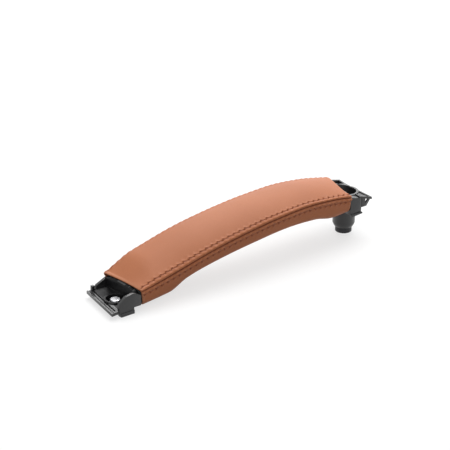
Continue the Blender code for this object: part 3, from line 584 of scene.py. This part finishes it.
tangent = gn.new("GeometryNodeInputTangent")
outward = gn.new("GeometryNodeInputNamedAttribute")
outward.data_type = "FLOAT_VECTOR"
outward.inputs["Name"].default_value = "outward"
along = gn.new("FunctionNodeAlignRotationToVector")
along.axis = "X"
upright = gn.new("FunctionNodeAlignRotationToVector")
upright.axis = "Z"
upright.pivot_axis = "X"
turn_axis = gn.new("FunctionNodeAxisAngleToRotation")
turn_axis.inputs["Axis"].default_value = (0, 0, 1)
slanted = gn.new("FunctionNodeRotateRotation")
slanted.rotation_space = "LOCAL"
bow = gn.new("GeometryNodeCurveQuadraticBezier")
bow.inputs["Resolution"].default_value = 8
half_length = gn.new("ShaderNodeMath")
half_length.operation = "MULTIPLY"
half_length.inputs[1].default_value = 0.5
minus_length = gn.new("ShaderNodeMath")
minus_length.operation = "MULTIPLY"
minus_length.inputs[1].default_value = -0.5
minus_dip = gn.new("ShaderNodeMath")
minus_dip.operation = "MULTIPLY"
minus_dip.inputs[1].default_value = -1.0
head = gn.new("ShaderNodeCombineXYZ")
crest = gn.new("ShaderNodeCombineXYZ")
tail = gn.new("ShaderNodeCombineXYZ")
circle = gn.new("GeometryNodeCurvePrimitiveCircle")
circle.inputs["Resolution"].default_value = 8
tube = gn.new("GeometryNodeCurveToMesh")
tube.inputs["Fill Caps"].default_value = True
on_row = gn.new("GeometryNodeInstanceOnPoints")
real = gn.new("GeometryNodeRealizeInstances")
smooth = gn.new("GeometryNodeSetShadeSmooth")
painted = gn.new("GeometryNodeSetMaterial")
gl.new(given.outputs["Row"], to_curve.inputs["Mesh"])
gl.new(to_curve.outputs["Curve"], spaced.inputs["Curve"])
gl.new(given.outputs["Stitches"], spaced.inputs["Count"])
gl.new(tangent.outputs["Tangent"], along.inputs["Vector"])
gl.new(along.outputs["Rotation"], upright.inputs["Rotation"])
gl.new(outward.outputs["Attribute"], upright.inputs["Vector"])
gl.new(given.outputs["Slant"], turn_axis.inputs["Angle"])
gl.new(upright.outputs["Rotation"], slanted.inputs["Rotation"])
gl.new(turn_axis.outputs["Rotation"], slanted.inputs["Rotate By"])
gl.new(given.outputs["Stitch Length"], half_length.inputs[0])
gl.new(given.outputs["Stitch Length"], minus_length.inputs[0])
gl.new(given.outputs["Dip"], minus_dip.inputs[0])
gl.new(minus_length.outputs[0], head.inputs["X"])
gl.new(minus_dip.outputs[0], head.inputs["Z"])
gl.new(given.outputs["Bow"], crest.inputs["Z"])
gl.new(half_length.outputs[0], tail.inputs["X"])
gl.new(minus_dip.outputs[0], tail.inputs["Z"])
gl.new(head.outputs[0], bow.inputs["Start"])
gl.new(crest.outputs[0], bow.inputs["Middle"])
gl.new(tail.outputs[0], bow.inputs["End"])
gl.new(given.outputs["Thread Radius"], circle.inputs["Radius"])
gl.new(bow.outputs["Curve"], tube.inputs["Curve"])
gl.new(circle.outputs["Curve"], tube.inputs["Profile Curve"])
gl.new(spaced.outputs["Curve"], on_row.inputs["Points"])
gl.new(tube.outputs["Mesh"], on_row.inputs["Instance"])
gl.new(slanted.outputs["Rotation"], on_row.inputs["Rotation"])
gl.new(on_row.outputs["Instances"], real.inputs["Geometry"])
gl.new(real.outputs["Geometry"], smooth.inputs["Geometry"])
gl.new(smooth.outputs["Geometry"], painted.inputs["Geometry"])
gl.new(given.outputs["Thread"], painted.inputs["Material"])
gl.new(painted.outputs["Geometry"], made.inputs["Sewing"])


def row_point(share, side, upper):
    """Point on the leather and the outward direction at a share of the grip, on a row."""
    seam = float(height_on(seam_line, share))
    if upper:
        rise = float(height_on(shoulder_line, share))
        turn = stitch_turn if side < 0 else far_stitch_turn
        y = grip_half - shoulder_width * (1 - math.cos(turn))
        z = seam + rise * math.sin(turn)
        out = Vector((0, side * math.cos(turn) / shoulder_width, math.sin(turn) / rise))
    else:
        bottom = float(height_on(belly_line, share))
        belly = min(belly_radius, (seam - bottom) * belly_share)
        y = grip_half - side_draft * stitch_drop / (seam - bottom - belly)
        z = seam - stitch_drop
        out = Vector((0, side, 0))
    x = grip_start + share * grip_length
    return Vector((x, side * y, z + float(lift_at(share, side * y)))), out.normalized()


row_steps = 240
stitch_tilt = 0.20
thread_sink = 0.00034
first_stitch = stitch_margin / grip_length + 0.5 * stitch_pitch / grip_length
stitch_share = stitch_pitch / grip_length
for side, side_name in ((-1, "near"), (1, "far")):
    last = 1.0 + (float(skew_at(grip_half)) / grip_length if side > 0 else 0.0)
    count = int((last - first_stitch - stitch_margin / grip_length) / stitch_share)
    for upper, row_name in ((True, "upper"), (False, "lower")):
        points = []
        outs = []
        for k in range(row_steps + 1):
            point, out = row_point(first_stitch + stitch_share * count * k / row_steps, side, upper)
            points.append(point - out * thread_sink)
            outs.append(out)
        row_mesh = bpy.data.meshes.new(f"row_{side_name}_{row_name}")
        row_mesh.from_pydata(points, [(k, k + 1) for k in range(row_steps)], [])
        direction = row_mesh.attributes.new("outward", "FLOAT_VECTOR", "POINT")
        direction.data.foreach_set("vector", [value for out in outs for value in out])
        row = bpy.data.objects.new(f"row_{side_name}_{row_name}", row_mesh)
        scene.collection.objects.link(row)
        sewing = row.modifiers.new("Sewing", "NODES")
        sewing.node_group = stitch_tree
        sockets = {item.name: item.identifier for item in face.items_tree if item.in_out == "INPUT"}
        sewing[sockets["Thread"]] = thread
        sewing[sockets["Stitches"]] = count + 1
        sewing[sockets["Slant"]] = side * (stitch_tilt if upper else -stitch_tilt)
        bpy.context.view_layer.update()
        sewn = bpy.data.meshes.new_from_object(row.evaluated_get(bpy.context.evaluated_depsgraph_get()))
        row.modifiers.clear()
        bpy.data.objects.remove(row)
        stitches = bpy.data.objects.new(f"stitches_{side_name}_{row_name}", sewn)
        scene.collection.objects.link(stitches)
        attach(stitches, "root")
        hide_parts(f"thread_{side_name}_{row_name}")


# Carrier
# One black glass-filled nylon moulding with a fine spark-eroded texture. Its edges have
# the small radius that a mould gives them. Inside the tray it gets painted shade: a darker,
# less shiny copy of the nylon for the shade that falls in the recess.
black_nylon = bpy.data.materials.new("black_nylon")
black_nylon.use_nodes = True
nodes = black_nylon.node_tree.nodes
links = black_nylon.node_tree.links
nylon_shader = nodes["Principled BSDF"]
place = nodes.new("ShaderNodeTexCoord")
erosion = nodes.new("ShaderNodeTexNoise")
erosion.inputs["Scale"].default_value = 1400
erosion.inputs["Detail"].default_value = 3
handling = nodes.new("ShaderNodeTexNoise")
handling.inputs["Scale"].default_value = 60
handling.inputs["Detail"].default_value = 4
for texture in (erosion, handling):
    links.new(place.outputs["Object"], texture.inputs["Vector"])
nylon_tone = nodes.new("ShaderNodeValToRGB")
nylon_tone.name = "Nylon Tone"
nylon_tone.color_ramp.elements[0].color = (0.012, 0.012, 0.013, 1)
nylon_tone.color_ramp.elements[1].color = (0.021, 0.021, 0.022, 1)
nylon_shader.inputs["Specular IOR Level"].default_value = 0.60
links.new(handling.outputs["Fac"], nylon_tone.inputs["Fac"])
links.new(nylon_tone.outputs["Color"], nylon_shader.inputs["Base Color"])
satin = nodes.new("ShaderNodeMapRange")
satin.inputs["To Min"].default_value = 0.26
satin.inputs["To Max"].default_value = 0.38
links.new(handling.outputs["Fac"], satin.inputs["Value"])
links.new(satin.outputs["Result"], nylon_shader.inputs["Roughness"])
eroded = nodes.new("ShaderNodeBump")
eroded.inputs["Strength"].default_value = 0.3
eroded.inputs["Distance"].default_value = 0.00004
links.new(erosion.outputs["Fac"], eroded.inputs["Height"])
links.new(eroded.outputs["Normal"], nylon_shader.inputs["Normal"])


shoulder_drop_line = ((0.0, 0.0010), (0.08, 0.0))
core_overrun = 0.0035
settling_power = 0.6
skew_rounds = 4


def let_down(point):
    """Lets a point of the core down in place, to suit the leather's flatter ends."""
    share = (point.x - grip_start) / grip_length
    nominal = share
    for _ in range(skew_rounds):
        nominal = share - max(0.0, nominal) ** fan_power * float(skew_at(point.y)) / grip_length
    seam = float(height_on(seam_line, share) + lift_at(share, point.y))
    rise = shoulder_width + crown_rise
    above = min(1.0, max(0.0, (point.z - seam) / rise))
    crown = crown_rise - float(height_on(crown_line, min(1.0, max(0.0, nominal))))
    drop = crown * float(bulge_at(point.y)) + float(height_on(shoulder_drop_line, share))
    near_end = core_overrun / grip_length
    if -near_end < share and nominal < 1.0 + near_end:
        point.z -= drop * above**settling_power


mould_radius = 0.00025
join_distance = 0.00001
flat_angle = math.radians(1.0)
rounded_angle = math.radians(38)
sharp_angle = math.radians(40)


def softened(name, node, width, material):
    """Copy of a moulding, joined to faces, let down under the leather's ends and rounded."""
    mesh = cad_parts[node].data.copy()
    mesh.name = name
    shape = bmesh.new()
    shape.from_mesh(mesh)
    bmesh.ops.remove_doubles(shape, verts=shape.verts, dist=join_distance)
    for vert in shape.verts:
        let_down(vert.co)
    bmesh.ops.dissolve_limit(shape, angle_limit=flat_angle, verts=shape.verts, edges=shape.edges)
    shape.to_mesh(mesh)
    shape.free()
    mesh.materials.clear()
    mesh.materials.append(material)
    piece = bpy.data.objects.new(name, mesh)
    scene.collection.objects.link(piece)
    round_off = piece.modifiers.new("Mould radius", "BEVEL")
    round_off.width = width
    round_off.segments = 2
    round_off.limit_method = "ANGLE"
    round_off.angle_limit = rounded_angle
    round_off.use_clamp_overlap = True
    bpy.context.view_layer.update()
    finished = bpy.data.meshes.new_from_object(piece.evaluated_get(bpy.context.evaluated_depsgraph_get()))
    piece.modifiers.clear()
    piece.data = finished
    finished.shade_smooth()
    finished.set_sharp_from_angle(angle=sharp_angle)
    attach(piece, "root")
    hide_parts(node)
    return piece


carrier = softened("carrier_moulding", "core_carrier", mould_radius, black_nylon)

# Painted shade: the faces inside the tray get a darker, less shiny copy of the nylon, standing in for the
# shade in the recess.
shaded_tray_nylon = black_nylon.copy()
shaded_tray_nylon.name = "shaded_tray_nylon"
shaded_tray_shader = shaded_tray_nylon.node_tree.nodes["Principled BSDF"]
shaded_tray_shader.inputs["Specular IOR Level"].default_value = 0.12
shaded_tray_tone = shaded_tray_nylon.node_tree.nodes["Nylon Tone"]
shaded_tray_tone.color_ramp.elements[0].color = (0.006, 0.006, 0.007, 1)
shaded_tray_tone.color_ramp.elements[1].color = (0.011, 0.011, 0.012, 1)
tray_shade_low = Vector((-0.1212, -0.0192, 0.0008))
tray_shade_high = Vector((grip_start + 0.004, 0.0192, 0.0200))
carrier.data.materials.append(shaded_tray_nylon)
for polygon in carrier.data.polygons:
    if all(low < place < high for low, place, high in zip(tray_shade_low, polygon.center, tray_shade_high)):
        polygon.material_index = 1


# Hidden core pieces
# The shell that closes the core from below is moulded and has the carrier's black here.
# The sleeve round the core is black closed-cell foam. Both lie inside the leather.
shell_nylon = black_nylon.copy()
shell_nylon.name = "shell_nylon"
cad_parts["underside_shell"].data.materials.clear()
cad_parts["underside_shell"].data.materials.append(shell_nylon)

foam = bpy.data.materials.new("black_foam")
foam.use_nodes = True
nodes = foam.node_tree.nodes
links = foam.node_tree.links
foam_shader = nodes["Principled BSDF"]
place = nodes.new("ShaderNodeTexCoord")
cells = nodes.new("ShaderNodeTexVoronoi")
cells.inputs["Scale"].default_value = 2200
foam_tone = nodes.new("ShaderNodeValToRGB")
foam_tone.color_ramp.elements[0].color = (0.010, 0.010, 0.010, 1)
foam_tone.color_ramp.elements[1].color = (0.035, 0.035, 0.035, 1)
links.new(place.outputs["Object"], cells.inputs["Vector"])
links.new(cells.outputs["Distance"], foam_tone.inputs["Fac"])
links.new(foam_tone.outputs["Color"], foam_shader.inputs["Base Color"])
foam_shader.inputs["Roughness"].default_value = 0.95
softened("foam_sleeve", "foam_wrap", 0.0, foam)


# Metal fixings
# The closed insert nut is bright zinc plated, with its barrel through the plate of the
# tray's recess. The spacer bush is blackened steel, pressed into the post from below.
zinc = bpy.data.materials.new("bright_zinc")
zinc.use_nodes = True
nodes = zinc.node_tree.nodes
links = zinc.node_tree.links
zinc_shader = nodes["Principled BSDF"]
place = nodes.new("ShaderNodeTexCoord")
plating = nodes.new("ShaderNodeTexNoise")
plating.inputs["Scale"].default_value = 420
plating.inputs["Detail"].default_value = 4
links.new(place.outputs["Object"], plating.inputs["Vector"])
zinc_tone = nodes.new("ShaderNodeValToRGB")
zinc_tone.color_ramp.elements[0].color = (0.36, 0.37, 0.39, 1)
zinc_tone.color_ramp.elements[1].color = (0.74, 0.74, 0.76, 1)
links.new(plating.outputs["Fac"], zinc_tone.inputs["Fac"])
links.new(zinc_tone.outputs["Color"], zinc_shader.inputs["Base Color"])
zinc_rough = nodes.new("ShaderNodeMapRange")
zinc_rough.inputs["To Min"].default_value = 0.22
zinc_rough.inputs["To Max"].default_value = 0.42
links.new(plating.outputs["Fac"], zinc_rough.inputs["Value"])
links.new(zinc_rough.outputs["Result"], zinc_shader.inputs["Roughness"])
zinc_shader.inputs["Metallic"].default_value = 1.0
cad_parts["lower_insert_nut"].data.materials.clear()
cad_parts["lower_insert_nut"].data.materials.append(zinc)

black_steel = bpy.data.materials.new("black_steel")
black_steel.use_nodes = True
nodes = black_steel.node_tree.nodes
links = black_steel.node_tree.links
steel_shader = nodes["Principled BSDF"]
place = nodes.new("ShaderNodeTexCoord")
oxide = nodes.new("ShaderNodeTexNoise")
oxide.inputs["Scale"].default_value = 350
links.new(place.outputs["Object"], oxide.inputs["Vector"])
steel_tone = nodes.new("ShaderNodeValToRGB")
steel_tone.color_ramp.elements[0].color = (0.012, 0.012, 0.014, 1)
steel_tone.color_ramp.elements[1].color = (0.030, 0.030, 0.034, 1)
links.new(oxide.outputs["Fac"], steel_tone.inputs["Fac"])
links.new(steel_tone.outputs["Color"], steel_shader.inputs["Base Color"])
steel_shader.inputs["Roughness"].default_value = 0.4
steel_shader.inputs["Metallic"].default_value = 0.3
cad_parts["upper_spacer_bush"].data.materials.clear()
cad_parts["upper_spacer_bush"].data.materials.append(black_steel)
